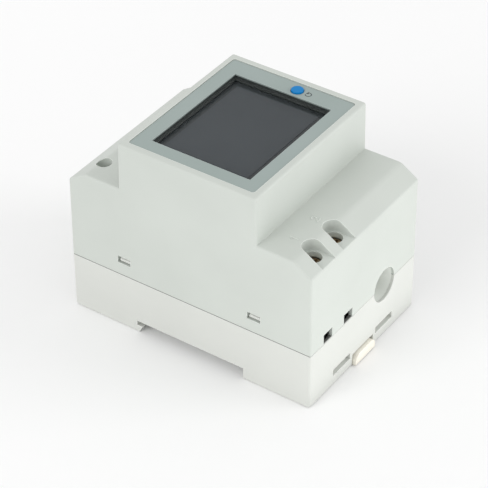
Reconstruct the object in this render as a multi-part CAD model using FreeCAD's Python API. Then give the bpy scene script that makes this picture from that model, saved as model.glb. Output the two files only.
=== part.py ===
import FreeCAD, Part
import math
import os

# Three-module rail energy meter with a cable tunnel through it, in millimetres.
# X runs from end to end, along the cable tunnel, Y across the three modules and Z up from the feet.
# The origin is the middle of the housing's footprint, on the plane that the feet stand on.

# Housing
length = 80.0
width = 54.0
height = 63.0
shoulder_z = 48.0
seam_z = 18.3
nose_length = 45.0
nose_lean = 0.3
end_lean = 0.25
chamfer_run = 5.9
chamfer_drop = 3.65
chamfer_round = 3.0
corner_round = 0.8
root_round = 0.4
edge_round = 0.6
fillet_margin = 0.1
seam_groove = 0.2
wall = 1.8

# Foot and the channel for a 35 mm rail
rail_width = 35.0
rail_thickness = 1.0
rail_play = 0.3
channel_depth = 3.9
foot_floor = 2.0
hook_reach = 1.5
hook_lead = 1.3
hook_height = 2.3

# Snap joints between cover and base
snap_inset = 18.35
snap_width = 4.3
snap_height = 2.3
snap_rise = 4.05
snap_tab_width = 6.0
snap_tab = 1.4
snap_root = 4.0
snap_gap = 0.5
lip = 1.0
lip_height = 2.0
seam_gap = 0.1

# Cable tunnel and the current transformer round it
tunnel_radius = 5.3
tunnel_y = 10.4
tube_wall = 0.9
tube_seat = 1.0
tube_gap = 0.1
core_x = -6.0
core_length = 11.0
core_gap = 0.3
core_floor = 1.1
core_side = 0.8
cradle_width = 1.6
cradle_rise = 6.0

# Terminals
terminal_edge = 8.5
terminal_pitch = 10.1
terminal_count = 2
pocket_radius = 3.1
driver_radius = 2.55
wire_width = 4.3
wire_height = 3.3
wire_wall = 1.05
wire_relief = 0.5
cage_length = 6.5
cage_end_gap = 0.35
cage_side_gap = 0.35
cage_wall = 1.4
cage_floor = 1.2
cage_plate = 2.5
cage_gap = 0.75
bar_thickness = 1.2
bar_side_gap = 0.3
bar_clearance = 0.3
plate_clearance = 0.5
screw_radius = 1.5
thread_gap = 0.05
screw_hole_gap = 0.3
head_radius = 2.75
head_height = 2.3
head_sink = 0.3
head_gap = 0.1
head_chamfer = 0.3
drive_width = 0.9
drive_length = 4.0
drive_depth = 1.1
rib = 1.2

# Blind well in the left shoulder
well_inset = 6.8
well_edge = 7.7
well_radius = 2.3
well_depth = 4.0

# Rail clip
clip_width = 10.2
clip_height = 3.4
clip_lift = 0.3
clip_wing = 1.6
clip_wing_height = 1.9
clip_gap = 0.3
clip_travel = 3.2
clip_tab = 1.0
clip_tab_round = 2.4
clip_nose = 0.5
pry_slot_inset = 4.4
pry_slot_length = 1.6
pry_slot_width = 5.0
spring_post_inset = 4.2
spring_post = 1.5
spring_post_width = 3.2
spring_length = 5.0
spring_strip = 0.3
spring_height = 1.4
spring_width = 2.4
spring_bends = 4
end_slot_offset = 10.95
end_slot_width = 8.8
end_slot_height = 2.2
end_slot_z = 3.4
end_slot_depth = 1.3

# Face, window and display
overlay_rim_x = 2.4
overlay_rim_y = 2.3
overlay_thickness = 0.4
overlay_sink = 0.2
overlay_gap = 0.15
overlay_round = 0.8
window_x = 0.2
window_y = -0.8
window_border_x = 4.25
window_border_y = 5.1
window_thickness = 1.0
window_ledge = 0.6
window_gap = 0.1
bezel_lip = 0.4
bezel_gap = 0.05
bezel_wall = 0.8
bezel_leg = 3.0
glass_thickness = 1.8
glass_sink = 2.0
backlight_thickness = 2.4
lcd_pin_pitch = 2.54
lcd_pin_margin = 2.0

# Reset button and its switch
button_x = 3.25
button_edge = 2.65
button_radius = 1.8
button_proud = 0.3
button_gap = 0.15
button_travel = 0.4
button_stem = 1.2
button_ear = 3.2
button_ear_width = 2.4
button_ear_height = 0.8
switch_size = 4.5
switch_height = 2.0
plunger_radius = 0.95
plunger_rise = 1.7
plunger_gap = 0.1

# Boards
board_thickness = 1.6
board_gap = 0.4
board_margin = 0.6
board_inset = 3.4
post_radius = 2.5
post_inset_left = 4.0
post_inset_right = 5.2
post_inset_side = 3.2
face_depth = 13.4
face_boss_radius = 1.8
face_boss_inset = 3.8
small_screw_radius = 1.0
small_screw_length = 6.0
small_head_radius = 1.9
small_head_height = 1.2
small_slot = 0.6
small_screw_gap = 0.05

# Parts on the boards
header_x = -10.0
header_inset = 4.6
header_pins = 8
header_spacing = 2.0
header_height = 2.2
pin_size = 0.5
tall_parts_inset = 8.6
capacitor_y = -11.0
capacitor_length = 13.0
capacitor_width = 6.0
capacitor_room = 1.25
capacitor_lead_pitch = 10.0
electrolytic_radius = 4.0
electrolytic_room = 2.9
electrolytic_bevel = 0.35
electrolytic_lead_pitch = 3.5
electrolytic_y = 1.5
electrolytic_pitch = 9.0
varistor_radius = 5.0
varistor_thickness = 3.6
varistor_inset = 21.0
varistor_lead_pitch = 5.0
varistor_y = 10.0
fuse_inset = 11.0
fuse_y = 4.0
fuse_radius = 1.9
fuse_length = 9.0
fuse_reach = 2.8
lead_width = 0.7
lead_rise = 1.0
meter_chip_inset = 20.6
meter_chip_y = 6.0
meter_chip_size = (10.0, 7.5)
meter_chip_legs = 8
control_chip_inset = 23.6
control_chip_y = -8.0
control_chip_size = (10.0, 10.0)
control_chip_legs = 6
chip_height = 1.6
chip_lift = 0.2
leg_reach = 1.0
leg_width = 0.4
crystal_inset = 37.1
crystal_y = -8.0
crystal_length = 10.5
crystal_width = 4.2
crystal_height = 3.6
crystal_flat = 0.2
core_lead_pitch = 4.0
core_lead_reach = 2.2
solder_tail = 1.2
tail_reach = 2.4

# Levels and places that follow from the sizes
half_length = length / 2
half_width = width / 2
chamfer_z = shoulder_z - chamfer_drop
snap_offset = half_length - snap_inset
ceiling_z = height - wall
recess_z = height - overlay_thickness - overlay_sink
end_round = min(edge_round, corner_round - fillet_margin)
plateau_z = channel_depth + wall
hook_x = -rail_width / 2 - rail_play / 2
hook_back_x = hook_x - rail_play
channel_x = rail_width / 2 + rail_play + seam_gap
clip_wing_end = half_length - wall - clip_travel - clip_gap
pry_slot_x = half_length - pry_slot_inset
spring_post_x = clip_wing_end - spring_post_inset
clip_notch = clip_width / 2 + clip_gap
clip_roof = clip_lift + clip_height + clip_gap
tube_radius = tunnel_radius + tube_wall
core_bore = tube_radius + core_gap
core_radius = min(seam_z - plateau_z - core_floor, half_width - wall - tunnel_y - core_side)
board_z = seam_z + core_radius + board_gap
board_top = board_z + board_thickness
bar_z = seam_z + wire_height + bar_clearance
bar_top = bar_z + bar_thickness
cage_plate_z = bar_top + plate_clearance
head_top = chamfer_z - wall - head_sink
shelf_z = head_top - head_height - head_gap
terminal_x = half_length - wall - cage_end_gap - cage_length / 2
terminal_rows = [-half_width + terminal_edge + i * terminal_pitch for i in range(terminal_count)]
bar_web_x = terminal_x - cage_length / 2 - cage_gap
cage_width = terminal_pitch - rib - 2 * cage_side_gap
bar_width = cage_width - 2 * cage_wall - 2 * bar_side_gap
main_board_x1 = bar_web_x - bar_thickness - board_gap
step_x0 = bar_web_x - bar_thickness - 2 * board_gap
main_board_x0 = board_inset - half_length
main_board_y = half_width - wall - board_margin
post_left_x = main_board_x0 + post_inset_left
post_right_x = main_board_x1 - post_inset_right
post_y = main_board_y - post_inset_side
snap_z = seam_z + snap_rise
overlay_length = nose_length - 2 * overlay_rim_x
overlay_width = width - 2 * overlay_rim_y
window_length = overlay_length - 2 * window_border_x
window_width = overlay_width - 2 * window_border_y
button_y = window_y + window_width / 2 + button_edge
lcd_pin_count = 1 + int((window_width - 2 * bezel_leg - 2 * lcd_pin_margin) / lcd_pin_pitch)
glass_top = height - overlay_sink - glass_sink
glass_z = glass_top - glass_thickness
backlight_z = glass_z - backlight_thickness
face_board_z = height - face_depth
face_board_top = face_board_z + board_thickness
face_boss_x = nose_length / 2 - face_boss_inset
face_boss_y = half_width - face_boss_inset
header_y = header_inset - main_board_y
tall_parts_x = main_board_x0 + tall_parts_inset
capacitor_height = chamfer_z - wall - board_top - capacitor_room
electrolytic_height = shoulder_z - wall - board_top - electrolytic_room
varistor_x = main_board_x1 - varistor_inset
fuse_x = main_board_x1 - fuse_inset
meter_chip_x = main_board_x0 + meter_chip_inset
control_chip_x = main_board_x0 + control_chip_inset
crystal_x = main_board_x0 + crystal_inset


def flat(a, b):
    return FreeCAD.Vector(a, b, 0)


def unit(vector):
    return vector * (1.0 / vector.Length)


def corner_wire(corners, place):
    """Closed outline through corners (a, b, radius); place turns (a, b) into a point in space."""
    edges = []
    count = len(corners)
    ends = []
    for i in range(count):
        a, b, radius = corners[i]
        before = corners[i - 1]
        after = corners[(i + 1) % count]
        here = flat(a, b)
        to_before = unit(flat(before[0], before[1]) - here)
        to_after = unit(flat(after[0], after[1]) - here)
        if radius <= 0:
            ends.append((here, None, here))
            continue
        half = to_before.getAngle(to_after) / 2
        middle = unit(to_before + to_after)
        run = radius / math.tan(half)
        bulge = here + middle * (radius / math.sin(half) - radius)
        ends.append((here + to_before * run, bulge, here + to_after * run))
    for i in range(count):
        start, bulge, stop = ends[i]
        if bulge is not None:
            edges.append(Part.Arc(place(start), place(bulge), place(stop)).toShape())
        following = ends[(i + 1) % count][0]
        if stop.distanceToPoint(following) > 1e-6:
            edges.append(Part.makeLine(place(stop), place(following)))
    return Part.Wire(edges)


def prism_x(corners, x0, x1):
    """Outline in Y and Z, drawn out along X."""
    wire = corner_wire(corners, lambda p: FreeCAD.Vector(x0, p.x, p.y))
    return Part.Face(wire).extrude(FreeCAD.Vector(x1 - x0, 0, 0))


def prism_y(corners, y0, y1):
    """Outline in X and Z, drawn out along Y."""
    wire = corner_wire(corners, lambda p: FreeCAD.Vector(p.x, y0, p.y))
    return Part.Face(wire).extrude(FreeCAD.Vector(0, y1 - y0, 0))


def prism_z(corners, z0, z1):
    """Outline in X and Y, drawn out along Z."""
    wire = corner_wire(corners, lambda p: FreeCAD.Vector(p.x, p.y, z0))
    return Part.Face(wire).extrude(FreeCAD.Vector(0, 0, z1 - z0))


def box(x0, x1, y0, y1, z0, z1):
    return Part.makeBox(x1 - x0, y1 - y0, z1 - z0, FreeCAD.Vector(x0, y0, z0))


def plate(x, y, size_x, size_y, z0, z1, radius=0.0):
    """Upright plate with rounded corners, centred on x, y."""
    x0, x1 = x - size_x / 2, x + size_x / 2
    y0, y1 = y - size_y / 2, y + size_y / 2
    return prism_z([(x0, y0, radius), (x1, y0, radius), (x1, y1, radius), (x0, y1, radius)], z0, z1)


def post(x, y, radius, z0, z1):
    return Part.makeCylinder(radius, z1 - z0, FreeCAD.Vector(x, y, z0))


def rod_x(y, z, radius, x0, x1):
    return Part.makeCylinder(radius, x1 - x0, FreeCAD.Vector(x0, y, z), FreeCAD.Vector(1, 0, 0))


def rod_y(x, z, radius, y0, y1):
    return Part.makeCylinder(radius, y1 - y0, FreeCAD.Vector(x, y0, z), FreeCAD.Vector(0, 1, 0))


def joined(shapes):
    whole = shapes[0].fuse(shapes[1:]) if len(shapes) > 1 else shapes[0]
    return whole.removeSplitter()


def cut(shape, tools):
    return shape.cut(tools).removeSplitter()


def end_edges(shape, lowest):
    """Edges of the two end faces at Y = +-half width, apart from those at the lowest level."""
    found = []
    for edge in shape.Edges:
        box_of = edge.BoundBox
        at_end = abs(abs(box_of.YMin) - half_width) < 1e-4 and box_of.YLength < 1e-4
        if at_end and box_of.ZMax > lowest + 1e-4:
            found.append(edge)
    return found


def level_edges(shape, z):
    """Edges that lie flat at one level."""
    return [e for e in shape.Edges if abs(e.BoundBox.ZMin - z) < 1e-3 and abs(e.BoundBox.ZMax - z) < 1e-3]


# Cover


def cover_corners(inset, bottom, rounding):
    """Stepped outline in X and Z, moved inwards by inset; rounding is 1 for soft corners, else 0."""
    slope = math.atan2(chamfer_drop, chamfer_run - end_lean)
    side = half_length - inset
    side_top = chamfer_z - inset * math.tan((math.pi / 2 - slope) / 2)
    break_x = half_length - chamfer_run - inset * math.tan(slope / 2)
    nose = nose_length / 2 - inset
    right = [
        (side, bottom, 0.0),
        (side - end_lean, side_top, corner_round * rounding),
        (break_x, shoulder_z - inset, chamfer_round * rounding),
        (nose, shoulder_z - inset, 0.0),
        (nose - nose_lean, height - inset, corner_round * rounding),
    ]
    left = [(-x, z, r) for x, z, r in reversed(right)]
    return right + left


def pocket(row_y, grow, z0, z1):
    """Arched pocket that runs out through the end."""
    radius = pocket_radius + grow
    arch = post(terminal_x, row_y, radius, z0, z1)
    return arch.fuse(box(terminal_x, length, row_y - radius, row_y + radius, z0, z1))


def wire_way(row_y):
    """Square wire entry through a skin of wall, with a wider relief behind the skin."""
    relief = wire_width / 2 + wire_relief
    skin = half_length - wire_wall
    entry = box(skin - wall, length, row_y - wire_width / 2, row_y + wire_width / 2,
                seam_z, seam_z + wire_height)
    return entry.fuse(box(skin - wall, skin, row_y - relief, row_y + relief,
                          seam_z - cage_floor, seam_z + wire_height + wire_relief))


def well(grow):
    """Round well in the left shoulder, made larger all round by grow."""
    return post(well_inset - half_length, well_edge - half_width, well_radius + grow,
                shoulder_z - well_depth - grow, height)


def tunnel_ends(low, high):
    """The round way through both end walls, with the seats for the ends of the tube."""
    seat = half_length - tube_seat
    through = rod_x(tunnel_y, seam_z, tunnel_radius, low, high)
    return through.fuse(rod_x(tunnel_y, seam_z, tube_radius + tube_gap, -seat, seat))


def divider_lines():
    """Y of each rib between and beside the terminals."""
    first = terminal_rows[0] - terminal_pitch / 2
    return [first + i * terminal_pitch for i in range(terminal_count + 1)]


def cover_ribs():
    x0 = bar_web_x + rib / 2
    ribs = []
    for y in divider_lines():
        ribs.append(box(x0, half_length - wall / 2, y - rib / 2, y + rib / 2,
                        seam_z + seam_gap, chamfer_z - wall / 2))
    return ribs


def face_boss_places():
    """Corners of the display board, each with True where a screw goes in."""
    return [(sx * face_boss_x, sy * face_boss_y, sx == sy) for sx in (-1, 1) for sy in (-1, 1)]


def face_bosses():
    bosses = []
    top = ceiling_z + wall / 4
    for x, y, screwed in face_boss_places():
        wall_x = math.copysign(nose_length / 2 - wall / 2, x)
        wall_y = math.copysign(half_width - wall / 2, y)
        if screwed:
            bosses.append(post(x, y, face_boss_radius, face_board_top, top))
        x0, x1 = sorted((x, wall_x))
        y0, y1 = sorted((y, wall_y))
        bosses.append(box(x0, x1, y - rib / 2, y + rib / 2, face_board_top, top))
        bosses.append(box(x - rib / 2, x + rib / 2, y0, y1, face_board_top, top))
    return bosses


def top_cover():
    shell = prism_y(cover_corners(0.0, seam_z, 1), -half_width, half_width)
    shell = shell.makeFillet(end_round, end_edges(shell, seam_z))
    shell = shell.makeChamfer(seam_groove, level_edges(shell, seam_z))
    hollow = prism_y(cover_corners(wall, seam_z - wall, 0), wall - half_width, half_width - wall)
    inside = prism_y(cover_corners(wall / 2, seam_z, 0), wall / 2 - half_width, half_width - wall / 2)
    bosses = [well(rib).common(inside)]
    for row_y in terminal_rows:
        bosses.append(pocket(row_y, wall, chamfer_z - wall, height).common(inside))
    whole = joined([shell.cut(hollow)] + bosses + cover_ribs() + face_bosses())
    tools = [tunnel_ends(-length, length), well(0.0)]
    for row_y in terminal_rows:
        tools.append(pocket(row_y, 0.0, chamfer_z, height))
        tools.append(post(terminal_x, row_y, driver_radius, chamfer_z - 2 * wall, chamfer_z + wall))
        tools.append(wire_way(row_y))
    tools.append(plate(0, 0, overlay_length + 2 * overlay_gap, overlay_width + 2 * overlay_gap,
                       recess_z, height + wall, overlay_round + overlay_gap))
    tools.append(plate(window_x, window_y, window_length + 2 * (bezel_lip + bezel_gap),
                       window_width + 2 * (bezel_lip + bezel_gap), ceiling_z - wall, height))
    tools.append(post(button_x, button_y, button_radius + button_gap, ceiling_z - wall, height))
    for sx in (-1, 1):
        tools.append(box(sx * snap_offset - snap_width / 2, sx * snap_offset + snap_width / 2,
                         -width, width, snap_z, snap_z + snap_height))
    for x, y, screwed in face_boss_places():
        if screwed:
            tools.append(post(x, y, small_screw_radius + small_screw_gap,
                              face_board_top, face_board_top + small_screw_length))
    return cut(whole, tools)


# Base


def base_outline():
    lip_x = hook_x + hook_reach
    return [
        (-half_length, seam_z, 0.0),
        (-half_length, 0.0, corner_round),
        (lip_x - hook_lead, 0.0, 0.0),
        (lip_x, hook_height, 0.0),
        (hook_back_x, hook_height + seam_gap, 0.0),
        (hook_back_x, channel_depth, 0.0),
        (channel_x, channel_depth, 0.0),
        (channel_x, 0.0, root_round),
        (half_length, 0.0, corner_round),
        (half_length, seam_z, 0.0),
    ]


def base_hollow():
    """Room inside the base: a well over each foot and a raised floor over the rail."""
    left = hook_back_x - wall
    right = channel_x + wall
    side = half_length - wall
    corners = [
        (-side, seam_z + wall, 0.0),
        (-side, foot_floor, 0.0),
        (left, foot_floor, 0.0),
        (left, plateau_z, 0.0),
        (right, plateau_z, 0.0),
        (right, foot_floor, 0.0),
        (side, foot_floor, 0.0),
        (side, seam_z + wall, 0.0),
    ]
    return prism_y(corners, wall - half_width, half_width - wall)


def clip_channel():
    """Way for the rail clip under the right foot, with a groove for its wings on each side."""
    inner = half_length - wall
    wing = clip_width / 2 + clip_wing + clip_gap
    groove_z = clip_lift + clip_height - clip_wing_height - clip_gap
    groove = box(channel_x - wall, inner, -wing, wing, groove_z, clip_roof)
    notch = prism_x([(-clip_notch, -wall, 0), (clip_notch, -wall, 0),
                     (clip_notch, clip_roof, clip_gap), (-clip_notch, clip_roof, clip_gap)],
                    channel_x - wall, length)
    stop = box(spring_post_x, spring_post_x + spring_post, -spring_post_width / 2,
               spring_post_width / 2, clip_lift + clip_gap, clip_roof + wall / 2)
    return groove.fuse(notch).cut(stop)


def snap_tab_shape(sx, sy):
    """Springy tab that stands up inside the cover's wall, with a wedge that fills its window."""
    x = sx * snap_offset
    face = half_width - wall - seam_gap
    root = seam_z - snap_root
    top = snap_z + snap_height + lip
    tab = [(face - snap_tab, root, 0), (half_width - wall + seam_gap, root, 0),
           (half_width - wall + seam_gap, seam_z - seam_gap, 0), (face, seam_z - seam_gap, 0),
           (face, top, 0), (face - snap_tab, top, 0)]
    wedge = [(face - snap_tab / 2, snap_z + snap_gap, 0), (half_width - snap_gap, snap_z + snap_gap, 0),
             (half_width - snap_gap, snap_z + snap_height / 2, 0),
             (face - snap_tab / 2, snap_z + snap_height - seam_gap, 0)]
    x0, x1 = x - snap_tab_width / 2, x + snap_tab_width / 2
    wedge_x0 = x - snap_width / 2 + snap_gap
    wedge_x1 = x + snap_width / 2 - seam_gap
    return [prism_x([(sy * y, z, r) for y, z, r in tab], x0, x1),
            prism_x([(sy * y, z, r) for y, z, r in wedge], wedge_x0, wedge_x1)]


def lip_sides():
    """Low lip that locates the cover, along both sides and the left end, clear of the tunnel."""
    face_y = half_width - wall - seam_gap
    face_x = half_length - wall - seam_gap
    end_x = step_x0 - lip
    foot = seam_z - lip
    parts = []
    for sy in (-1, 1):
        y0, y1 = sorted((sy * (face_y - lip), sy * face_y))
        f0, f1 = sorted((sy * (face_y - lip), sy * (half_width - wall / 2)))
        parts.append(box(-face_x, end_x, y0, y1, foot, seam_z + lip_height))
        parts.append(box(-face_x, end_x, f0, f1, foot, seam_z - seam_gap))
    tube_low = tunnel_y - tube_radius - lip
    tube_high = tunnel_y + tube_radius + lip
    for y0, y1 in ((-face_y, tube_low), (tube_high, face_y)):
        parts.append(box(-face_x, lip - face_x, y0, y1, foot, seam_z + lip_height))
        parts.append(box(-half_length + wall / 2, lip - face_x, y0, y1, foot, seam_z - seam_gap))
    return parts


def board_post_places():
    """Corners that carry the main board, each with True where a screw goes in."""
    return [(x, sy * post_y, (x == post_left_x) == (sy == 1))
            for x in (post_left_x, post_right_x) for sy in (-1, 1)]


def board_posts():
    """Round bosses for the screws, and cross-shaped ones that only carry the board."""
    posts = []
    low = foot_floor / 2
    for x, y, screwed in board_post_places():
        if screwed:
            posts.append(post(x, y, post_radius, low, board_z))
        else:
            posts.append(box(x - post_radius, x + post_radius, y - rib / 2, y + rib / 2, low, board_z))
            posts.append(box(x - rib / 2, x + rib / 2, y - post_radius, y + post_radius, low, board_z))
    return posts


def core_cradle():
    """Two saddles that carry the current transformer."""
    saddles = []
    for sx in (-1, 1):
        x = core_x + sx * (core_length / 2 - cradle_width)
        saddles.append(box(x - cradle_width / 2, x + cradle_width / 2, tunnel_y - core_radius,
                           tunnel_y + core_radius, plateau_z - wall / 2, plateau_z + cradle_rise))
    return joined(saddles).cut(rod_x(tunnel_y, seam_z, core_radius + tube_gap, -half_length, half_length))


def base_dividers():
    x0 = bar_web_x + rib / 2
    parts = []
    for y in divider_lines():
        parts.append(box(x0 - rib, half_length - wall / 2, y - rib / 2, y + rib / 2,
                         foot_floor / 2, seam_z - seam_gap))
    low = divider_lines()[0] - rib / 2
    high = divider_lines()[-1] + rib / 2
    parts.append(box(step_x0, bar_web_x + seam_gap, low, high, foot_floor / 2, bar_z))
    return parts


def base_housing():
    block = prism_y(base_outline(), -half_width, half_width)
    rounded = [e for e in end_edges(block, -1.0)
               if e.BoundBox.ZMin < seam_z - 1e-3
               and (abs(e.BoundBox.XMin) > half_length - corner_round - 1e-3 or e.BoundBox.ZMax < 1e-3)]
    block = block.makeFillet(end_round, rounded)
    block = block.makeChamfer(seam_groove, level_edges(block, seam_z))
    block = block.cut(base_hollow())
    wing = clip_width / 2 + clip_wing + clip_gap + wall
    parts = [block, box(channel_x + wall / 2, half_length - wall / 2, -wing, wing,
                        foot_floor / 2, clip_roof + wall)]
    parts += board_posts()
    for sx in (-1, 1):
        for sy in (-1, 1):
            parts += snap_tab_shape(sx, sy)
    parts += lip_sides() + [core_cradle()] + base_dividers()
    whole = joined(parts)
    tools = [tunnel_ends(-length, length), clip_channel()] + [wire_way(row_y) for row_y in terminal_rows]
    for x, y, screwed in board_post_places():
        if screwed:
            tools.append(post(x, y, small_screw_radius + small_screw_gap,
                              board_z - small_screw_length, board_z + wall))
    for sy in (-1, 1):
        y = sy * end_slot_offset
        tools.append(box(half_length - end_slot_depth, length, y - end_slot_width / 2,
                         y + end_slot_width / 2, end_slot_z, end_slot_z + end_slot_height))
    return cut(whole, tools)


# Rail clip and its spring


def rail_clip():
    top = clip_lift + clip_height
    tip = rail_width / 2 - hook_reach
    under_rail = channel_depth - rail_thickness - rail_play
    body = [
        (tip, under_rail, 0),
        (tip, under_rail - clip_nose, 0),
        (tip + hook_reach, clip_lift, 0),
        (clip_wing_end + clip_gap, clip_lift, 0),
        (clip_wing_end + clip_gap, top, 0),
        (channel_x + clip_gap, top, 0),
        (channel_x + clip_gap, under_rail, 0),
    ]
    half = clip_width / 2
    core = prism_y(body, -half, half)
    tab = prism_x([(-half, clip_lift, 0), (half, clip_lift, 0),
                   (half, top, clip_tab_round), (-half, top, clip_tab_round)],
                  clip_wing_end, half_length + clip_tab)
    wings = box(channel_x + clip_gap, clip_wing_end, -half - clip_wing, half + clip_wing,
                top - clip_wing_height, top)
    whole = joined([core, tab, wings])
    window_x0 = spring_post_x - spring_length
    window_x1 = spring_post_x + spring_post + seam_gap
    window_half = spring_post_width / 2 + clip_gap
    window = box(window_x0, window_x1, -window_half, window_half, 0, top + wall)
    pry_half = pry_slot_width / 2
    pry = box(pry_slot_x, pry_slot_x + pry_slot_length, -pry_half, pry_half, 0, top + wall)
    return cut(whole, [window, pry])


def clip_spring():
    """Flat spring steel strip, folded to and fro, between the clip and the post in the base."""
    x0 = spring_post_x - spring_length
    pitch = (spring_length - spring_strip) / spring_bends
    low = (clip_roof + clip_lift + clip_height - clip_wing_height - spring_height) / 2
    half = spring_width / 2
    inner = (pitch - spring_strip) / 2
    outer = inner + spring_strip
    parts = []
    for i in range(spring_bends + 1):
        x = x0 + i * pitch
        y0 = -half if i == 0 else outer - half
        y1 = half if i == spring_bends else half - outer
        parts.append(box(x, x + spring_strip, y0, y1, low, low + spring_height))
    for i in range(spring_bends):
        side = 1 if i % 2 == 0 else -1
        x = x0 + i * pitch + outer
        y = side * (half - outer)
        ring = post(x, y, outer, low, low + spring_height).cut(post(x, y, inner, low, low + spring_height))
        y0, y1 = sorted((y, side * length))
        parts.append(ring.common(box(x - pitch, x + pitch, y0, y1, low, low + spring_height)))
    return joined(parts)


# Terminals


def terminal_bar(row_y):
    """Bent strip: a leg through the cage, a web behind it and a shelf that the screw head bears on."""
    x0 = bar_web_x - bar_thickness
    x1 = terminal_x + cage_length / 2
    bend = bar_thickness + root_round
    outer = [(x0, bar_z, bend), (x1, bar_z, 0), (x1, bar_top, 0), (bar_web_x, bar_top, root_round),
             (bar_web_x, shelf_z - bar_thickness, root_round), (x1, shelf_z - bar_thickness, 0),
             (x1, shelf_z, 0), (x0, shelf_z, bend)]
    strip = prism_y(outer, row_y - bar_width / 2, row_y + bar_width / 2)
    tail_z = board_z - board_gap
    tail_x = x0 - tail_reach
    tail = [(x0 + root_round, tail_z, 0), (x0 + root_round, tail_z - bar_thickness, 0),
            (tail_x, tail_z - bar_thickness, 0), (tail_x, board_top + solder_tail, 0),
            (tail_x + bar_thickness, board_top + solder_tail, 0), (tail_x + bar_thickness, tail_z, 0)]
    strip = joined([strip, prism_y(tail, row_y - bar_thickness, row_y + bar_thickness)])
    return strip.cut(post(terminal_x, row_y, screw_radius + screw_hole_gap,
                          shelf_z - 2 * bar_thickness, shelf_z + bar_thickness))


def terminal_cage(row_y):
    """Clamp cage: wire and bar pass through its window, and the screw turns in its thick top."""
    x0 = terminal_x - cage_length / 2
    x1 = terminal_x + cage_length / 2
    half = cage_width / 2
    low = seam_z - cage_floor
    high = cage_plate_z + cage_plate
    ring = prism_x([(row_y - half, low, corner_round), (row_y + half, low, corner_round),
                    (row_y + half, high, corner_round), (row_y - half, high, corner_round)], x0, x1)
    window = box(x0 - wall, x1 + wall, row_y - half + cage_wall, row_y + half - cage_wall,
                 seam_z, cage_plate_z)
    thread = post(terminal_x, row_y, screw_radius + thread_gap, cage_plate_z - wall, high + wall)
    return ring.cut([window, thread])


def terminal_screw(row_y):
    """Screw with a cheese head and a cross and slot drive."""
    head_z = head_top - head_height
    head = post(terminal_x, row_y, head_radius, head_z, head_top)
    head = head.makeChamfer(head_chamfer, [e for e in head.Edges if e.BoundBox.ZMin > head_top - 1e-3])
    shank = post(terminal_x, row_y, screw_radius, bar_top + bar_clearance, head_z)
    slot = box(terminal_x - head_radius, terminal_x + head_radius, row_y - drive_width / 2,
               row_y + drive_width / 2, head_top - drive_depth, head_top + wall)
    cross = box(terminal_x - drive_width / 2, terminal_x + drive_width / 2, row_y - drive_length / 2,
                row_y + drive_length / 2, head_top - drive_depth, head_top + wall)
    return joined([head, shank]).cut([slot, cross])


# Cable tunnel and current transformer


def cable_tube():
    x = half_length - tube_seat
    outer = rod_x(tunnel_y, seam_z, tube_radius, -x, x)
    return outer.cut(rod_x(tunnel_y, seam_z, tunnel_radius, -length, length))


def current_transformer():
    """Moulded ring case round the cable tube."""
    x0 = core_x - core_length / 2
    x1 = core_x + core_length / 2
    ring = rod_x(tunnel_y, seam_z, core_radius, x0, x1)
    return ring.cut(rod_x(tunnel_y, seam_z, core_bore, x0 - wall, x1 + wall))


def bent_lead(axis, across, start, knee, z, foot, width):
    """Square lead that runs level from start to knee and then down or up to foot."""
    side = math.copysign(width, knee - start)
    rise = math.copysign(width, foot - z) / 2
    outline = [(start, z - rise, 0), (knee, z - rise, 0), (knee, foot, 0), (knee - side, foot, 0),
               (knee - side, z + rise, 0), (start, z + rise, 0)]
    draw = prism_x if axis == "y" else prism_y
    return draw(outline, across - width / 2, across + width / 2)


def core_lead_places():
    return [tunnel_y - core_lead_pitch / 2, tunnel_y + core_lead_pitch / 2]


def transformer_leads():
    """The two winding ends, bent up from the ring's face into the main board."""
    face = core_x + core_length / 2
    z = seam_z + (core_bore + core_radius) / 2
    return Part.makeCompound([bent_lead("x", y, face, face + core_lead_reach, z, board_top, lead_width)
                              for y in core_lead_places()])


# Boards, their screws and the display


def main_board():
    board = box(main_board_x0, main_board_x1, -main_board_y, main_board_y, board_z, board_top)
    tools = [post(x, y0, small_screw_radius + screw_hole_gap, board_z - wall, board_top + wall)
             for x, y0, screwed in board_post_places() if screwed]
    tail_x = bar_web_x - bar_thickness - tail_reach
    slack = board_gap / 2
    for row_y in terminal_rows:
        tools.append(box(tail_x - slack, tail_x + bar_thickness + slack, row_y - bar_thickness - slack,
                         row_y + bar_thickness + slack, board_z - wall, board_top + wall))
    out = core_x + core_length / 2 + core_lead_reach
    for y0 in core_lead_places():
        half = lead_width / 2 + thread_gap
        tools.append(box(out - lead_width - thread_gap, out + thread_gap, y0 - half, y0 + half,
                         board_z - wall, board_top + wall))
    return cut(board, tools)


def small_screw(x, y, z, side):
    """Pan-head screw; z is the face its head sits on, and side is +1 with the head on top."""
    head_z0, head_z1 = sorted((z, z + side * small_head_height))
    head = post(x, y, small_head_radius, head_z0, head_z1)
    tip0, tip1 = sorted((z, z - side * (board_thickness + small_screw_length - small_head_height)))
    shank = post(x, y, small_screw_radius, tip0, tip1)
    top = z + side * small_head_height
    z0, z1 = sorted((top - side * small_head_height / 2, top + side * wall))
    slot = plate(x, y, 2 * small_head_radius, small_slot, z0, z1)
    return joined([head, shank]).cut(slot)


def main_board_screws():
    return Part.makeCompound([small_screw(x, y, board_top, 1)
                              for x, y, screwed in board_post_places() if screwed])


def display_board():
    size_x = nose_length - 2 * (wall + nose_lean + board_margin)
    size_y = width - 2 * (wall + board_margin)
    board = plate(0, 0, size_x, size_y, face_board_z, face_board_top)
    return cut(board, [post(x, y, small_screw_radius + thread_gap, face_board_z - wall, face_board_top + wall)
                       for x, y, screwed in face_boss_places() if screwed])


def display_board_screws():
    return Part.makeCompound([small_screw(x, y, face_board_z, -1)
                              for x, y, screwed in face_boss_places() if screwed])


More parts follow.
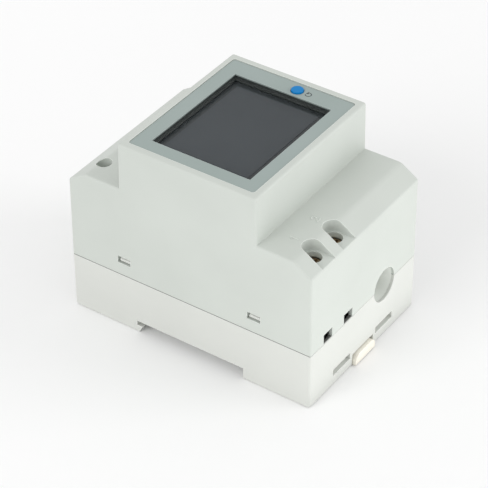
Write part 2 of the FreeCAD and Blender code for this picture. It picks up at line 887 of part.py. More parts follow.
def lcd_bezel():
    """Black frame on four legs; its lip lines the window right up to the overlay."""
    body_x = window_length + 2 * bezel_wall
    body_y = window_width + 2 * bezel_wall
    low = backlight_z - window_gap
    frame = plate(window_x, window_y, body_x, body_y, low, ceiling_z - window_gap)
    rim = plate(window_x, window_y, window_length + 2 * bezel_lip, window_width + 2 * bezel_lip,
                low, recess_z)
    parts = [frame, rim]
    for sx in (-1, 1):
        for sy in (-1, 1):
            x = window_x + sx * (body_x - bezel_leg) / 2
            y = window_y + sy * (body_y - bezel_leg) / 2
            parts.append(plate(x, y, bezel_leg, bezel_leg, face_board_top, low + wall))
    sight_x = window_length - 2 * window_ledge
    sight_y = window_width - 2 * window_ledge
    tools = [plate(window_x, window_y, window_length, window_width, recess_z - window_thickness, height),
             plate(window_x, window_y, sight_x, sight_y, glass_top - wall, height),
             plate(window_x, window_y, window_length, window_width, low - wall, glass_top + window_gap)]
    return cut(joined(parts), tools)


def display_window():
    return plate(window_x, window_y, window_length - 2 * window_gap, window_width - 2 * window_gap,
                 recess_z - window_thickness, recess_z - window_gap)


def lcd_glass():
    """Two glass sheets; the lower one is wider on the side where the pins clip on."""
    size_x = window_length - 2 * window_gap
    size_y = window_width - 2 * window_gap
    middle = glass_z + glass_thickness / 2
    lower = plate(window_x, window_y, size_x, size_y, glass_z, middle)
    upper = plate(window_x - window_ledge, window_y, size_x - 2 * window_ledge, size_y, middle, glass_top)
    return joined([lower, upper])


def lcd_backlight():
    """Light guide under the glass, set back from the row of pins."""
    size_x = window_length - 2 * window_gap - 2 * pin_size - bezel_wall
    size_y = window_width - 2 * window_gap
    x = window_x - window_length / 2 + window_gap + size_x / 2
    return plate(x, window_y, size_x, size_y, backlight_z, glass_z)


def lcd_pins():
    x = window_x + window_length / 2 - window_gap - pin_size
    first = window_y - lcd_pin_pitch * (lcd_pin_count - 1) / 2
    rows = [first + i * lcd_pin_pitch for i in range(lcd_pin_count)]
    return Part.makeCompound([box(x - pin_size / 2, x + pin_size / 2, y - pin_size / 2, y + pin_size / 2,
                                  face_board_top, glass_z) for y in rows])


def face_overlay():
    sheet = plate(0, 0, overlay_length, overlay_width, recess_z, recess_z + overlay_thickness, overlay_round)
    tools = [plate(window_x, window_y, window_length, window_width, recess_z - wall, height),
             post(button_x, button_y, button_radius + button_gap, recess_z - wall, height)]
    return cut(sheet, tools)


# Reset button and its switch


def reset_button():
    top = height + button_proud
    tip = face_board_top + switch_height + plunger_rise
    cap = post(button_x, button_y, button_radius, ceiling_z - button_gap, top)
    cap = cap.makeChamfer(button_gap, [e for e in cap.Edges if e.BoundBox.ZMin > top - 1e-3])
    ears = plate(button_x, button_y, 2 * button_ear, button_ear_width,
                 ceiling_z - button_gap - button_ear_height, ceiling_z - button_gap)
    stem = post(button_x, button_y, button_stem, tip, ceiling_z - button_gap)
    return joined([cap, ears, stem])


def tact_switch():
    z1 = face_board_top + switch_height
    body = plate(button_x, button_y, switch_size, switch_size, face_board_top, z1)
    well = post(button_x, button_y, plunger_radius + plunger_gap, face_board_top + plunger_gap, z1 + wall)
    return body.cut(well)


def switch_plunger():
    z1 = face_board_top + switch_height
    return post(button_x, button_y, plunger_radius,
                face_board_top + plunger_gap + button_travel + plunger_gap, z1 + plunger_rise)


# Parts on the main board


def leaded(body, x, y, dx, dy, z):
    """Two straight leads from a body down to the board."""
    parts = [body]
    for side in (-1, 1):
        parts.append(plate(x + side * dx, y + side * dy, lead_width, lead_width, board_top, z))
    return joined(parts)


def film_capacitor():
    z = board_top + lead_rise / 2
    body = plate(tall_parts_x, capacitor_y, capacitor_width, capacitor_length, z, z + capacitor_height,
                 corner_round)
    return leaded(body, tall_parts_x, capacitor_y, 0, capacitor_lead_pitch / 2, z + wall)


def electrolytic_capacitors():
    """Two cans with a bevelled top edge."""
    cans = []
    z = board_top + lead_rise / 2
    for i in range(2):
        y = electrolytic_y + i * electrolytic_pitch
        can = post(tall_parts_x, y, electrolytic_radius, z, z + electrolytic_height)
        can = can.makeChamfer(electrolytic_bevel, [e for e in can.Edges if e.BoundBox.ZMin > z + 1e-3])
        cans.append(leaded(can, tall_parts_x, y, electrolytic_lead_pitch / 2, 0, z + lead_width))
    return Part.makeCompound(cans)


def varistor():
    """Disc that lies flat over the board, on two leads bent down from its rim."""
    z0 = board_top + lead_rise / 2
    z = z0 + varistor_thickness / 2
    parts = [post(varistor_x, varistor_y, varistor_radius, z0, z0 + varistor_thickness)]
    start = varistor_x + varistor_radius / 2
    knee = varistor_x + varistor_radius + lead_rise
    for side in (-1, 1):
        y = varistor_y + side * varistor_lead_pitch / 2
        parts.append(bent_lead("x", y, start, knee, z, board_top, lead_width))
    return joined(parts)


def fuse_resistor():
    """Barrel resistor that acts as the fuse, lying on bent leads."""
    z = board_top + fuse_radius + lead_rise / 2
    barrel = rod_y(fuse_x, z, fuse_radius, fuse_y - fuse_length / 2, fuse_y + fuse_length / 2)
    parts = [barrel]
    for side in (-1, 1):
        edge = fuse_y + side * (fuse_length / 2 - lead_width)
        parts.append(bent_lead("y", fuse_x, edge, edge + side * fuse_reach, z, board_top, lead_width))
    return joined(parts)


def chip(x, y, size, legs, four_sides):
    """Flat chip on bent legs."""
    size_x, size_y = size
    z0 = board_top + chip_lift
    z1 = z0 + chip_height
    parts = [plate(x, y, size_x, size_y, z0, z1)]
    middle = (z0 + z1) / 2
    pitch = size_x / (legs + 1)
    turns = (0, 90, 180, 270) if four_sides else (0, 180)
    for turn in turns:
        for i in range(legs):
            along = -size_x / 2 + pitch * (i + 1)
            edge = -size_y / 2
            leg = bent_lead("y", along, edge + leg_reach / 2, edge - leg_reach, middle, board_top, leg_width)
            leg.rotate(FreeCAD.Vector(0, 0, 0), FreeCAD.Vector(0, 0, 1), turn)
            leg.translate(FreeCAD.Vector(x, y, 0))
            parts.append(leg)
    return joined(parts)


def metering_chip():
    return chip(meter_chip_x, meter_chip_y, meter_chip_size, meter_chip_legs, False)


def control_chip():
    return chip(control_chip_x, control_chip_y, control_chip_size, control_chip_legs, True)


def crystal():
    """Oval can on a flanged foot."""
    inner_length = crystal_length - corner_round
    inner_width = crystal_width - corner_round
    flange = plate(crystal_x, crystal_y, crystal_length, crystal_width, board_top, board_top + lead_width / 2,
                   (crystal_width - crystal_flat) / 2)
    can = plate(crystal_x, crystal_y, inner_length, inner_width, board_top, board_top + crystal_height,
                (inner_width - crystal_flat) / 2)
    return joined([flange, can])


def header_rows():
    return [header_x + (i - (header_pins - 1) / 2) * header_spacing for i in range(header_pins)]


def link_header():
    """Plastic strip that holds the pins between the two boards."""
    size = header_pins * header_spacing
    strip = plate(header_x, header_y, size, header_spacing, board_top, board_top + header_height)
    holes = [box(x - pin_size / 2 - thread_gap, x + pin_size / 2 + thread_gap,
                 header_y - pin_size / 2 - thread_gap, header_y + pin_size / 2 + thread_gap,
                 board_top - wall, board_top + header_height + wall) for x in header_rows()]
    return cut(strip, holes)


def link_pins():
    return Part.makeCompound([box(x - pin_size / 2, x + pin_size / 2, header_y - pin_size / 2,
                                  header_y + pin_size / 2, board_top, face_board_z) for x in header_rows()])


def nodes():
    parts = {
        "top_cover": top_cover(),
        "base_housing": base_housing(),
        "face_overlay": face_overlay(),
        "display_window": display_window(),
        "lcd_bezel": lcd_bezel(),
        "lcd_glass": lcd_glass(),
        "lcd_backlight": lcd_backlight(),
        "lcd_pins": lcd_pins(),
        "display_board": display_board(),
        "display_board_screws": display_board_screws(),
        "reset_button": reset_button(),
        "tact_switch": tact_switch(),
        "switch_plunger": switch_plunger(),
        "main_board": main_board(),
        "main_board_screws": main_board_screws(),
        "link_header": link_header(),
        "link_pins": link_pins(),
        "metering_chip": metering_chip(),
        "control_chip": control_chip(),
        "crystal": crystal(),
        "film_capacitor": film_capacitor(),
        "electrolytic_capacitors": electrolytic_capacitors(),
        "varistor": varistor(),
        "fuse_resistor": fuse_resistor(),
        "cable_tube": cable_tube(),
        "current_transformer": current_transformer(),
        "transformer_leads": transformer_leads(),
        "rail_clip": rail_clip(),
        "clip_spring": clip_spring(),
    }
    for number, row_y in enumerate(terminal_rows, start=1):
        parts[f"terminal_bar_{number}"] = terminal_bar(row_y)
        parts[f"terminal_cage_{number}"] = terminal_cage(row_y)
        parts[f"terminal_screw_{number}"] = terminal_screw(row_y)
    return parts


os.makedirs("parts", exist_ok=True)
for name, shape in nodes().items():
    shape.exportStep(f"parts/{name}.step")
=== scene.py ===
import bpy
import bmesh
import math
from mathutils import Matrix, Vector

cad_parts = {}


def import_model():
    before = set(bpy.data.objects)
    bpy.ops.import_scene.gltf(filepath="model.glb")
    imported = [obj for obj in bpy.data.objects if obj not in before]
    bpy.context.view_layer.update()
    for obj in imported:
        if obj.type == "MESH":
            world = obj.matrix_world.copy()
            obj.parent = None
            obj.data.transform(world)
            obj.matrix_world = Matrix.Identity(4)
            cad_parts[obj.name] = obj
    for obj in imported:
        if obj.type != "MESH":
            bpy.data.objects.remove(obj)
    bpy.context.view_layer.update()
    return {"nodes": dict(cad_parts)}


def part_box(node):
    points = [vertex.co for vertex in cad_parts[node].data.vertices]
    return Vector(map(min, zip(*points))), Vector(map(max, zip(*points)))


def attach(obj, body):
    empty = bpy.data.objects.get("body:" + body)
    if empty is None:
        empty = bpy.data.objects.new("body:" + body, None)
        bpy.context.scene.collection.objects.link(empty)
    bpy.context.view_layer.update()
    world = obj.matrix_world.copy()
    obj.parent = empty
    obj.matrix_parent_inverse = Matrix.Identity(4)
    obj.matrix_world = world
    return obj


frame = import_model()
nodes = frame["nodes"]

MM = 0.001

# Camera: where it stands, what it looks at and how far it is tilted about its own axis
CAMERA_AT = Vector((263.79, -383.27, 381.62)) * MM
CAMERA_TO = Vector((2.71, -3.85, 25.41)) * MM
CAMERA_ROLL = -0.14
CAMERA_LENS = 154.4

# Light: the room's strength, and each lamp's place, size and power in metres and watts
ROOM_STRENGTH = 0.84
LIT_POINT = (0.0, 0.0, 0.03)
END_BOX = ((4.1, 2.2, 1.5), 2.4, 60.0)
FRONT_BOX = ((-1.2, -4.8, 3.0), 3.2, 90.0)
END_CARD = ((0.1955, 0.0, 0.0005), 0.3, 0.165)
FLOOR_REACH = 6.0

# Sizes of the details that are added here, in millimetres
SHOULDER = 48.0
DIGIT_X = 28.75
DIGIT_HEIGHT = 2.6
DIGIT_RISE = 0.12
MARK_AWAY = 3.6
MARK_RADIUS = 0.85
MARK_LINE = 0.26
MARK_RISE = 0.02
POLARISER_BORDER = 1.4
POLARISER_THICKNESS = 0.08
FLOOR_DROP = 0.02

# The reset mark's arc in degrees, and its head as (degrees, half width as a share of the radius)
MARK_ARC = (-160, 110)
MARK_HEAD = ((111, 0.65), (178, 0.03))

# How far the painted shade in the seam and the painted highlight along edges reach, and how far the edges
# are rounded, in millimetres
SEAM_DARK = (0.05, 0.16)
SEAM_END = 0.4
MOULD_EDGE = 0.25
HOUSING_HIGHLIGHT_EDGE = 0.45
FILM_HIGHLIGHT_EDGE = 0.22

# The seam's painted shade at its deepest and at the bright end, and how much lighter the painted highlight
# makes an edge
SEAM_SHADE = (0.25, 0.8)
EDGE_HIGHLIGHT_LIFT = 44

# Places that follow from the CAD nodes, in metres
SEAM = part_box("top_cover")[0].z
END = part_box("top_cover")[1].x


def linear(*srgb):
    """Colour written as 0 to 255 on the screen, as the shader wants it."""
    return tuple((v / 255 / 12.92) if v <= 10 else ((v / 255 + 0.055) / 1.055) ** 2.4 for v in srgb) + (1.0,)


# Materials


class Shader:
    """A node material with its Principled shader and short calls for the nodes around it."""

    def __init__(self, name, **sockets):
        self.material = bpy.data.materials.new(name)
        self.material.use_nodes = True
        self.tree = self.material.node_tree
        self.surface = self.tree.nodes["Principled BSDF"]
        for key, value in sockets.items():
            self.surface.inputs[key.replace("_", " ")].default_value = value
        self.place = self.node("ShaderNodeTexCoord").outputs["Object"]

    def node(self, kind, **settings):
        made = self.tree.nodes.new(kind)
        for key, value in settings.items():
            setattr(made, key, value)
        return made

    def link(self, output, target):
        self.tree.links.new(output, target)

    def noise(self, per_metre, detail=2.0, rough=0.5, stretch=(1, 1, 1)):
        """Noise fixed to the object; per_metre is how many lumps lie on one metre."""
        mapping = self.node("ShaderNodeMapping")
        mapping.inputs["Scale"].default_value = stretch
        self.link(self.place, mapping.inputs["Vector"])
        texture = self.node("ShaderNodeTexNoise")
        texture.inputs["Scale"].default_value = per_metre
        texture.inputs["Detail"].default_value = detail
        texture.inputs["Roughness"].default_value = rough
        self.link(mapping.outputs["Vector"], texture.inputs["Vector"])
        return texture.outputs["Fac"]

    def ramp(self, factor, *stops):
        """Colour ramp; each stop is (position, colour)."""
        made = self.node("ShaderNodeValToRGB")
        ramp = made.color_ramp
        while len(ramp.elements) < len(stops):
            ramp.elements.new(0.5)
        for element, (position, colour) in zip(ramp.elements, stops):
            element.position = position
            element.color = colour
        self.link(factor, made.inputs["Fac"])
        return made.outputs["Color"]

    def span(self, factor, low, high, to_low, to_high):
        """Factor from low to high, stretched to run from to_low to to_high."""
        made = self.node("ShaderNodeMapRange")
        for key, value in (("From Min", low), ("From Max", high), ("To Min", to_low), ("To Max", to_high)):
            made.inputs[key].default_value = value
        self.link(factor, made.inputs["Value"])
        return made.outputs["Result"]

    def bump(self, height, depth_mm, strength=1.0, edge_mm=0.0):
        """Relief of depth_mm; edge_mm rounds how the edges catch the light."""
        made = self.node("ShaderNodeBump")
        made.inputs["Strength"].default_value = strength
        made.inputs["Distance"].default_value = depth_mm * MM
        self.link(height, made.inputs["Height"])
        if edge_mm:
            edge = self.node("ShaderNodeBevel", samples=6)
            edge.inputs["Radius"].default_value = edge_mm * MM
            self.link(edge.outputs["Normal"], made.inputs["Normal"])
        self.link(made.outputs["Normal"], self.surface.inputs["Normal"])

    def painted_edge_highlight(self, colour, light, edge_mm):
        """Paints a highlight into a colour along outward edges, where light catches the mould's rounded
        radius.
        """
        rounded = self.node("ShaderNodeBevel", samples=6)
        rounded.inputs["Radius"].default_value = edge_mm * MM
        turned = self.node("ShaderNodeVectorMath", operation="DOT_PRODUCT")
        self.link(rounded.outputs["Normal"], turned.inputs[0])
        self.link(self.node("ShaderNodeNewGeometry").outputs["Normal"], turned.inputs[1])
        reach = self.node("ShaderNodeAmbientOcclusion", samples=4)
        reach.inputs["Distance"].default_value = 2 * edge_mm * MM
        mask = self.node("ShaderNodeMath", operation="MULTIPLY")
        self.link(self.span(turned.outputs["Value"], 0.75, 0.98, 1.0, 0.0), mask.inputs[0])
        self.link(self.span(reach.outputs["AO"], 0.8, 1.0, 0.0, 1.0), mask.inputs[1])
        mix = self.node("ShaderNodeMix", data_type="RGBA")
        self.link(mask.outputs["Value"], mix.inputs["Factor"])
        self.link(colour, mix.inputs["A"])
        mix.inputs["B"].default_value = light
        return mix.outputs["Result"]

    def colour(self, output):
        self.link(output, self.surface.inputs["Base Color"])

    def roughness(self, output):
        self.link(output, self.surface.inputs["Roughness"])


def painted_seam_shade(made, colour, level):
    """Paints shade into a colour in the groove at one level, less at the bright end where light gets in."""
    split = made.node("ShaderNodeSeparateXYZ")
    made.link(made.place, split.inputs["Vector"])
    away = made.node("ShaderNodeMath", operation="SUBTRACT")
    away.inputs[1].default_value = level
    made.link(split.outputs["Z"], away.inputs[0])
    distance = made.node("ShaderNodeMath", operation="ABSOLUTE")
    made.link(away.outputs["Value"], distance.inputs[0])
    open_air = made.span(distance.outputs["Value"], SEAM_DARK[0] * MM, SEAM_DARK[1] * MM, 0.0, 1.0)
    deepest = made.span(split.outputs["X"], END - SEAM_END * MM, END - SEAM_END * MM / 2, *SEAM_SHADE)
    shade = made.node("ShaderNodeMix", data_type="FLOAT")
    made.link(open_air, shade.inputs["Factor"])
    made.link(deepest, shade.inputs["A"])
    shade.inputs["B"].default_value = 1.0
    mix = made.node("ShaderNodeMix", data_type="RGBA", blend_type="MULTIPLY")
    mix.inputs["Factor"].default_value = 1.0
    made.link(colour, mix.inputs["A"])
    made.link(shade.outputs["Result"], mix.inputs["B"])
    return mix.outputs["Result"]


def moulded(name, shade, texture_mm, depth_mm, rough, tint=2, seam=None):
    """Injection-moulded plastic: an eroded-steel grain, with slow drifts in shade and gloss."""
    made = Shader(name, Roughness=rough, Specular_IOR_Level=0.4)
    grain = made.noise(1 / (texture_mm * MM), 3.0, 0.6)
    drift = made.noise(45, 2.0)
    light = [min(255, v + tint) for v in shade]
    dark = [v - tint for v in shade]
    plain = made.ramp(drift, (0.3, linear(*dark)), (0.7, linear(*light)))
    # With a seam, the colour gets a painted highlight along outward edges and painted shade in the seam's
    # groove
    if seam is not None:
        edge = linear(*[min(255, v + EDGE_HIGHLIGHT_LIFT) for v in shade])
        plain = painted_seam_shade(made, made.painted_edge_highlight(plain, edge, HOUSING_HIGHLIGHT_EDGE), seam)
    made.colour(plain)
    made.roughness(made.span(grain, 0.3, 0.7, rough - 0.06, rough + 0.08))
    made.bump(grain, depth_mm, edge_mm=MOULD_EDGE)
    return made


def polished(name, shade, rough):
    """Smooth plastic or lacquer with faint flow lines."""
    made = Shader(name, Roughness=rough)
    drift = made.noise(60, 3.0, 0.55, (1, 1, 0.3))
    dark = [v * 0.93 for v in shade]
    made.colour(made.ramp(drift, (0.3, linear(*dark)), (0.7, linear(*shade))))
    made.roughness(made.span(made.noise(900, 2.0), 0.3, 0.7, rough * 0.85, rough * 1.2))
    made.bump(made.noise(2500, 2.0), 0.004)
    return made


def metal(name, shade, rough, stretch=(1, 1, 1), depth_mm=0.004, stain=0.85):
    """Plated or bare metal, with fine drawing lines along the axis where stretch is small."""
    made = Shader(name, Metallic=1.0, Roughness=rough)
    lines = made.noise(4000, 2.0, 0.6, stretch)
    cloud = made.noise(350, 3.0, 0.6)
    made.colour(made.ramp(cloud, (0.25, linear(*[v * stain for v in shade])), (0.65, linear(*shade))))
    made.roughness(made.span(lines, 0.3, 0.7, rough * 0.75, rough * 1.35))
    made.bump(lines, depth_mm)
    return made


def cover_plastic():
    return moulded("cover_plastic", (199, 204, 198), 0.45, 0.012, 0.46, seam=SEAM)


def base_plastic():
    return moulded("base_plastic", (209, 211, 206), 0.45, 0.012, 0.46, seam=SEAM)


def clip_plastic():
    return moulded("clip_plastic", (244, 240, 228), 0.6, 0.008, 0.38)


def tube_plastic():
    # Lighter than the housing's plastic: painted light that lifts the shaded inside of the tunnel
    return moulded("tube_plastic", (240, 243, 238), 0.5, 0.01, 0.5)


def overlay_film():
    """Printed polycarbonate film with a fine velvet back."""
    made = Shader("overlay_film", Roughness=0.38, Specular_IOR_Level=0.45)
    drift = made.noise(35, 2.0)
    film = made.ramp(drift, (0.35, linear(147, 160, 156)), (0.7, linear(153, 165, 162)))
    # Painted highlight along the film's outward edges
    made.colour(made.painted_edge_highlight(film, linear(205, 213, 211), FILM_HIGHLIGHT_EDGE))
    velvet = made.noise(6000, 2.0, 0.7)
    made.roughness(made.span(velvet, 0.3, 0.7, 0.33, 0.45))
    made.bump(velvet, 0.004)
    return made


def black_plastic():
    return moulded("black_plastic", (64, 69, 68), 0.4, 0.004, 0.5)


def dark_sheet(name, shade, rough):
    """Glass or film of an unpowered display: dark, with a slow sheen."""
    made = Shader(name, Specular_IOR_Level=0.35)
    drift = made.noise(30, 2.0)
    dark, light = ([v + step for v in shade] for step in (-4, 4))
    made.colour(made.ramp(drift, (0.3, linear(*dark)), (0.7, linear(*light))))
    made.roughness(made.span(made.noise(45, 1.0), 0.3, 0.7, rough * 0.9, rough * 1.1))
    return made


def display_cell():
    return dark_sheet("display_cell", (60, 65, 67), 0.22)


def polariser_film():
    return dark_sheet("polariser_film", (67, 73, 77), 0.22)


def window_pane():
    """Clear anti-glare pane that only dims what lies behind it; the film below carries the sheen."""
    made = Shader("window_pane", IOR=1.49, Alpha=0.06, Specular_IOR_Level=0.0)
    made.colour(made.ramp(made.noise(40), (0.3, linear(0, 0, 0)), (0.7, linear(1, 1, 1))))
    made.roughness(made.span(made.noise(30, 1.0), 0.3, 0.7, 0.27, 0.33))
    made.material.surface_render_method = "BLENDED"
    return made


def light_guide():
    return polished("light_guide", (236, 238, 232), 0.35)


def button_plastic():
    made = moulded("button_plastic", (4, 124, 192), 0.5, 0.006, 0.4, 4)
    made.surface.inputs["Specular IOR Level"].default_value = 0.2
    return made


def board_mask():
    """Green solder mask over copper tracks, seen as faint raised lines."""
    made = Shader("board_mask", Roughness=0.34)
    mapping = made.node("ShaderNodeMapping")
    mapping.inputs["Scale"].default_value = (420, 420, 1)
    made.link(made.place, mapping.inputs["Vector"])
    tracks = made.node("ShaderNodeTexVoronoi", distance="MANHATTAN", feature="DISTANCE_TO_EDGE")
    tracks.inputs["Scale"].default_value = 1.0
    made.link(mapping.outputs["Vector"], tracks.inputs["Vector"])
    copper = made.span(tracks.outputs["Distance"], 0.10, 0.14, 0.0, 1.0)
    made.colour(made.ramp(copper, (0.0, linear(34, 104, 62)), (1.0, linear(22, 78, 48))))
    made.bump(copper, 0.02, 0.6)
    return made


def chip_epoxy():
    return moulded("chip_epoxy", (46, 47, 50), 0.2, 0.01, 0.55, 3)


def core_case():
    return moulded("core_case", (44, 50, 62), 0.5, 0.015, 0.5, 3)


def film_case():
    return moulded("film_case", (214, 182, 70), 0.5, 0.01, 0.4, 4)


def can_sleeve():
    return polished("can_sleeve", (44, 50, 74), 0.28)


def varistor_dip():
    return moulded("varistor_dip", (40, 84, 160), 1.2, 0.05, 0.3, 6)


def resistor_coat():
    return moulded("resistor_coat", (110, 142, 118), 0.9, 0.03, 0.6, 8)


def tinned_metal():
    return metal("tinned_metal", (206, 206, 200), 0.3)


def brass_metal():
    return metal("brass_metal", (206, 168, 104), 0.28, (1, 0.15, 1))


def screw_metal():
    """Yellow-passivated steel, with darker patches."""
    return metal("screw_metal", (214, 190, 160), 0.38, (1, 1, 1), 0.006, 0.6)


def zinc_metal():
    return metal("zinc_metal", (150, 152, 154), 0.42, (1, 1, 0.2))


def spring_metal():
    return metal("spring_metal", (178, 180, 184), 0.25, (0.2, 1, 1))


def ink(name, shade):
    """Screen-printed ink, a little uneven in its cover."""
    made = Shader(name, Roughness=0.55)
    cover = made.noise(5000, 2.0, 0.7)
    made.colour(made.ramp(cover, (0.2, linear(*[v + 14 for v in shade])), (0.6, linear(*shade))))
    made.bump(cover, 0.003)
    return made


NODE_MATERIALS = {
    cover_plastic: ["top_cover"],
    base_plastic: ["base_housing"],
    clip_plastic: ["rail_clip"],
    tube_plastic: ["cable_tube"],
    overlay_film: ["face_overlay"],
    black_plastic: ["lcd_bezel", "link_header"],
    display_cell: ["lcd_glass"],
    window_pane: ["display_window"],
    light_guide: ["lcd_backlight"],
    button_plastic: ["reset_button"],
    board_mask: ["display_board", "main_board"],
    chip_epoxy: ["metering_chip", "control_chip", "tact_switch", "switch_plunger"],
    core_case: ["current_transformer"],
    film_case: ["film_capacitor"],
    can_sleeve: ["electrolytic_capacitors"],
    varistor_dip: ["varistor"],
    resistor_coat: ["fuse_resistor"],
    tinned_metal: ["lcd_pins", "link_pins", "transformer_leads", "crystal"],
    brass_metal: ["terminal_bar_1", "terminal_bar_2"],
    screw_metal: ["terminal_screw_1", "terminal_screw_2"],
    zinc_metal: ["display_board_screws", "main_board_screws", "terminal_cage_1", "terminal_cage_2"],
    spring_metal: ["clip_spring"],
}


def dress_nodes():
    for make, names in NODE_MATERIALS.items():
        shader = make()
        for name in names:
            mesh = nodes[name].data
            mesh.materials.clear()
            mesh.materials.append(shader.material)


# Added pieces


def finish_piece(mesh_edit, name, shader, body):
    """Turns a bmesh in metres into a piece that rides on a body."""
    bmesh.ops.recalc_face_normals(mesh_edit, faces=mesh_edit.faces)
    mesh = bpy.data.meshes.new(name)
    mesh_edit.to_mesh(mesh)
    mesh_edit.free()
    mesh.materials.append(shader.material)
    piece = bpy.data.objects.new(name, mesh)
    bpy.context.scene.collection.objects.link(piece)
    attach(piece, body)
    return piece


def ribbon(mesh_edit, pairs, z0, z1):
    """Flat strip between two levels; each pair holds its left and right (x, y) point."""
    rings = []
    for left, right in pairs:
        corners = ((*left, z0), (*right, z0), (*right, z1), (*left, z1))
        rings.append([mesh_edit.verts.new(corner) for corner in corners])
    for a, b in zip(rings, rings[1:]):
        for k in range(4):
            mesh_edit.faces.new((a[k], a[(k + 1) % 4], b[(k + 1) % 4], b[k]))
    mesh_edit.faces.new(rings[0])
    mesh_edit.faces.new(reversed(rings[-1]))


def arc(centre, radius, start, stop, steps):
    """Points on a circle, with the angles in degrees; without steps, only the first one."""
    points = []
    for i in range(steps + 1):
        angle = math.radians(start + (stop - start) * i / max(steps, 1))
        points.append((centre[0] + radius * math.cos(angle), centre[1] + radius * math.sin(angle)))
    return points


def upright(points, place, size):
    """Turns glyph points (across, up) into X and Y; the device's top is towards -X."""
    return [(place.x - up * size, place.y + across * size) for across, up in points]


def digit_edges(number):
    """Left and right edge of a digit one unit high, as (across, up) from its middle."""
    if number == 1:
        return ([(-0.27, 0.3), (-0.04, 0.5), (0.07, 0.5), (0.07, -0.5)],
                [(-0.27, 0.16), (-0.07, 0.32), (-0.07, 0.28), (-0.07, -0.5)])
    bowl = (0.0, 0.18)
    return (arc(bowl, 0.32, 165, -35, 12) + [(-0.12, -0.37), (-0.08, -0.37), (0.33, -0.37)],
            arc(bowl, 0.18, 165, -35, 12) + [(-0.33, -0.42), (-0.33, -0.5), (0.33, -0.5)])


def shoulder_digits(shader):
    """Raised digit on the shoulder beside each terminal, on the side of the nose."""
    rise = DIGIT_RISE * MM
    for number in (1, 2):
        low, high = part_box(f"terminal_screw_{number}")
        place = Vector((DIGIT_X * MM, (low.y + high.y) / 2, SHOULDER * MM))
        left, right = (upright(edge, place, DIGIT_HEIGHT * MM) for edge in digit_edges(number))
        edit = bmesh.new()
        ribbon(edit, zip(left, right), place.z - rise, place.z + rise)
        finish_piece(edit, f"digit_{number}", shader, "housing")


def reset_mark(shader):
    """Round arrow beside the button, the usual sign for starting again."""
    low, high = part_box("reset_button")
    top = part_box("face_overlay")[1].z
    centre = ((low.x + high.x) / 2 + MARK_AWAY * MM, (low.y + high.y) / 2)
    radius, half = MARK_RADIUS * MM, MARK_LINE * MM / 2
    outer = arc(centre, radius + half, *MARK_ARC, 24)
    inner = arc(centre, radius - half, *MARK_ARC, 24)
    for angle, spread in MARK_HEAD:
        outer += arc(centre, radius * (1 + spread), angle, angle, 0)
        inner += arc(centre, radius * (1 - spread), angle, angle, 0)
    edit = bmesh.new()
    ribbon(edit, zip(outer, inner), top - MARK_RISE * MM, top + MARK_RISE * MM)
    finish_piece(edit, "reset_mark", shader, "housing")


def polariser(shader):
    """Dark film on the display glass, set back from its edges."""
    low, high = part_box("display_window")
    edge = POLARISER_BORDER * MM + (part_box("lcd_bezel")[1].x - high.x)
    z0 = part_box("lcd_glass")[1].z
    edit = bmesh.new()
    pairs = [((x, low.y + edge), (x, high.y - edge)) for x in (low.x + edge, high.x - edge)]
    ribbon(edit, pairs, z0, z0 + POLARISER_THICKNESS * MM)
    finish_piece(edit, "lcd_polariser", shader, "housing")


# Stage


def floor():
    mesh_edit = bmesh.new()
    bmesh.ops.create_grid(mesh_edit, x_segments=1, y_segments=1, size=FLOOR_REACH)
    bmesh.ops.translate(mesh_edit, verts=mesh_edit.verts, vec=(0.0, 0.0, -FLOOR_DROP * MM))
    mesh = bpy.data.meshes.new("floor")
    mesh_edit.to_mesh(mesh)
    mesh_edit.free()
    made = Shader("floor_paper", Roughness=0.9)
    made.colour(made.ramp(made.noise(3), (0.3, linear(247, 247, 247)), (0.7, linear(249, 249, 249))))
    mesh.materials.append(made.material)
    plane = bpy.data.objects.new("floor", mesh)
    bpy.context.scene.collection.objects.link(plane)


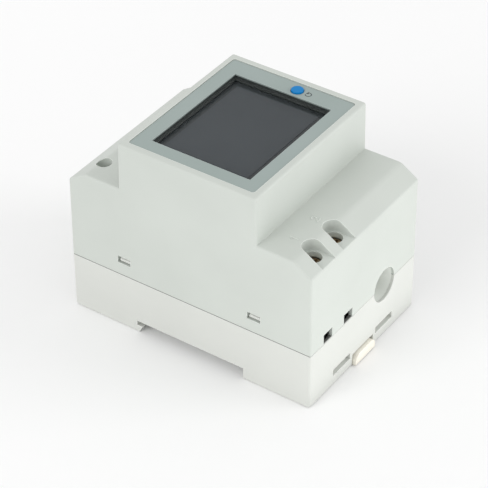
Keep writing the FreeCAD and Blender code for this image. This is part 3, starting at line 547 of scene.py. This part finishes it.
def world():
    """Pale room; the camera, mirrors and clear panes see it white."""
    made = bpy.data.worlds.new("room")
    bpy.context.scene.world = made
    made.use_nodes = True
    tree = made.node_tree
    tree.nodes.clear()
    out = tree.nodes.new("ShaderNodeOutputWorld")
    room = tree.nodes.new("ShaderNodeBackground")
    room.inputs["Color"].default_value = (1.0, 1.0, 1.0, 1.0)
    room.inputs["Strength"].default_value = ROOM_STRENGTH
    seen = tree.nodes.new("ShaderNodeBackground")
    seen.inputs["Color"].default_value = (1.0, 1.0, 1.0, 1.0)
    seen.inputs["Strength"].default_value = 1.0
    path = tree.nodes.new("ShaderNodeLightPath")
    rays = path.outputs["Is Camera Ray"]
    for kind in ("Is Glossy Ray", "Is Transmission Ray"):
        either = tree.nodes.new("ShaderNodeMath")
        either.operation = "MAXIMUM"
        tree.links.new(rays, either.inputs[0])
        tree.links.new(path.outputs[kind], either.inputs[1])
        rays = either.outputs["Value"]
    mix = tree.nodes.new("ShaderNodeMixShader")
    tree.links.new(rays, mix.inputs["Fac"])
    tree.links.new(room.outputs["Background"], mix.inputs[1])
    tree.links.new(seen.outputs["Background"], mix.inputs[2])
    tree.links.new(mix.outputs["Shader"], out.inputs["Surface"])


def lamp(name, place, size, power, target):
    data = bpy.data.lights.new(name, "AREA")
    data.shape = "SQUARE"
    data.size = size
    data.energy = power
    made = bpy.data.objects.new(name, data)
    made.location = place
    made.rotation_mode = "QUATERNION"
    made.rotation_quaternion = (Vector(target) - Vector(place)).to_track_quat("-Z", "Y")
    bpy.context.scene.collection.objects.link(made)
    return made


def lamps():
    """Two soft boxes, and a low card that throws light up at the end as a bright table does."""
    lamp("end_softbox", *END_BOX, LIT_POINT)
    lamp("front_softbox", *FRONT_BOX, LIT_POINT)
    card = lamp("end_card", *END_CARD, (END_CARD[0][0], 0.0, 1.0))
    card.visible_camera = False
    card.visible_glossy = False


def camera():
    data = bpy.data.cameras.new("camera")
    data.sensor_width = 36.0
    data.lens = CAMERA_LENS
    data.clip_start = 0.05
    data.clip_end = 20.0
    made = bpy.data.objects.new("camera", data)
    look = (CAMERA_TO - CAMERA_AT).to_track_quat("-Z", "Y").to_matrix().to_4x4()
    roll = Matrix.Rotation(math.radians(CAMERA_ROLL), 4, "Z")
    made.matrix_world = Matrix.Translation(CAMERA_AT) @ look @ roll
    bpy.context.scene.collection.objects.link(made)
    bpy.context.scene.camera = made


dress_nodes()
shoulder_digits(cover_plastic())
reset_mark(ink("mark_ink", (52, 58, 62)))
polariser(polariser_film())
floor()
world()
lamps()
camera()
bpy.context.scene.view_settings.view_transform = "Standard"
